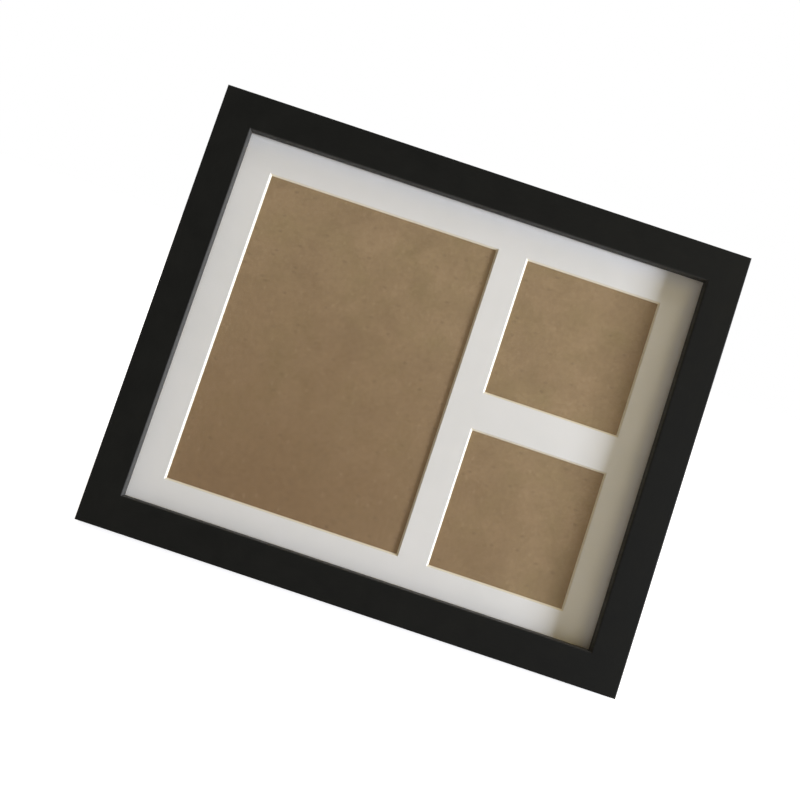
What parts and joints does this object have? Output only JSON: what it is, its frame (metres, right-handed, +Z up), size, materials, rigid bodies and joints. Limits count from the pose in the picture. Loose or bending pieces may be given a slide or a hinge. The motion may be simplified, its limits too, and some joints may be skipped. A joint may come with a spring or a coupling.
{
  "type": "picture frame",
  "caption": "Landscape picture frame with mitred black rails, a white mount with one large and two small apertures, a brown backing board and a folding strut.",
  "frame": {"origin": "centre of the footprint on the ground, under the middle of the standing frame and its opened strut", "axes": "+X to the right along the rails as seen from the front, -Y towards the viewer, +Z up"},
  "size_m": [0.292, 0.1, 0.2375],
  "materials": {
    "rail_black": "satin black wrap over a fibreboard moulding",
    "nail_steel": "bright zinc",
    "pane_clear": "clear, 2 mm",
    "mount_white": "matt white facing over a cream core",
    "fibreboard_brown": "bare wood-fibre board",
    "button_steel": "bright zinc",
    "screw_steel": "bright zinc",
    "hinge_steel": "rolled tin plate",
    "rivet_steel": "nickel plated",
    "hanger_steel": "nickel plated"
  },
  "bodies": {
    "frame": {"top_rail": "rail_black", "bottom_rail": "rail_black", "left_rail": "rail_black", "right_rail": "rail_black", "corner_v_nails": "nail_steel", "glazing_pane": "pane_clear", "window_mount": "mount_white", "backing_board": "fibreboard_brown", "turn_button_screws": "screw_steel", "strut_board_leaf": "hinge_steel", "strut_hinge_pin": "hinge_steel", "strut_board_rivets": "rivet_steel", "top_sawtooth_hanger": "hanger_steel", "side_sawtooth_hanger": "hanger_steel", "hanger_nails": "nail_steel"},
    "top_left_button": {"top_left_turn_button": "button_steel"},
    "top_right_button": {"top_right_turn_button": "button_steel"},
    "bottom_left_button": {"bottom_left_turn_button": "button_steel"},
    "bottom_right_button": {"bottom_right_turn_button": "button_steel"},
    "left_upper_button": {"left_upper_turn_button": "button_steel"},
    "left_lower_button": {"left_lower_turn_button": "button_steel"},
    "right_upper_button": {"right_upper_turn_button": "button_steel"},
    "right_lower_button": {"right_lower_turn_button": "button_steel"},
    "strut": {"strut_leg": "fibreboard_brown", "strut_leg_leaf": "hinge_steel", "strut_leg_rivets": "rivet_steel"}
  },
  "joints": [
    {"name": "top_left_button_turn", "type": "hinge", "parent": "frame", "child": "top_left_button", "pos_m": [-0.078, 0.01542, 0.22834], "axis": [0, 0.9744, -0.225], "range_deg": [-90, 90]},
    {"name": "top_right_button_turn", "type": "hinge", "parent": "frame", "child": "top_right_button", "pos_m": [0.078, 0.01542, 0.22834], "axis": [0, 0.9744, -0.225], "range_deg": [-90, 90]},
    {"name": "bottom_left_button_turn", "type": "hinge", "parent": "frame", "child": "bottom_left_button", "pos_m": [-0.078, -0.03587, 0.00619], "axis": [0, 0.9744, -0.225], "range_deg": [-90, 90]},
    {"name": "bottom_right_button_turn", "type": "hinge", "parent": "frame", "child": "bottom_right_button", "pos_m": [0.078, -0.03587, 0.00619], "axis": [0, 0.9744, -0.225], "range_deg": [-90, 90]},
    {"name": "left_upper_button_turn", "type": "hinge", "parent": "frame", "child": "left_upper_button", "pos_m": [-0.1395, 0.00282, 0.17378], "axis": [0, 0.9744, -0.225], "range_deg": [-90, 90]},
    {"name": "left_lower_button_turn", "type": "hinge", "parent": "frame", "child": "left_lower_button", "pos_m": [-0.1395, -0.02327, 0.06075], "axis": [0, 0.9744, -0.225], "range_deg": [-90, 90]},
    {"name": "right_upper_button_turn", "type": "hinge", "parent": "frame", "child": "right_upper_button", "pos_m": [0.1395, 0.00282, 0.17378], "axis": [0, 0.9744, -0.225], "range_deg": [-90, 90]},
    {"name": "right_lower_button_turn", "type": "hinge", "parent": "frame", "child": "right_lower_button", "pos_m": [0.1395, -0.02327, 0.06075], "axis": [0, 0.9744, -0.225], "range_deg": [-90, 90]},
    {"name": "strut_fold", "type": "hinge", "parent": "frame", "child": "strut", "pos_m": [0, 0.00991, 0.19728], "axis": [1, 0, 0], "range_deg": [-24, 0]}
  ]
}
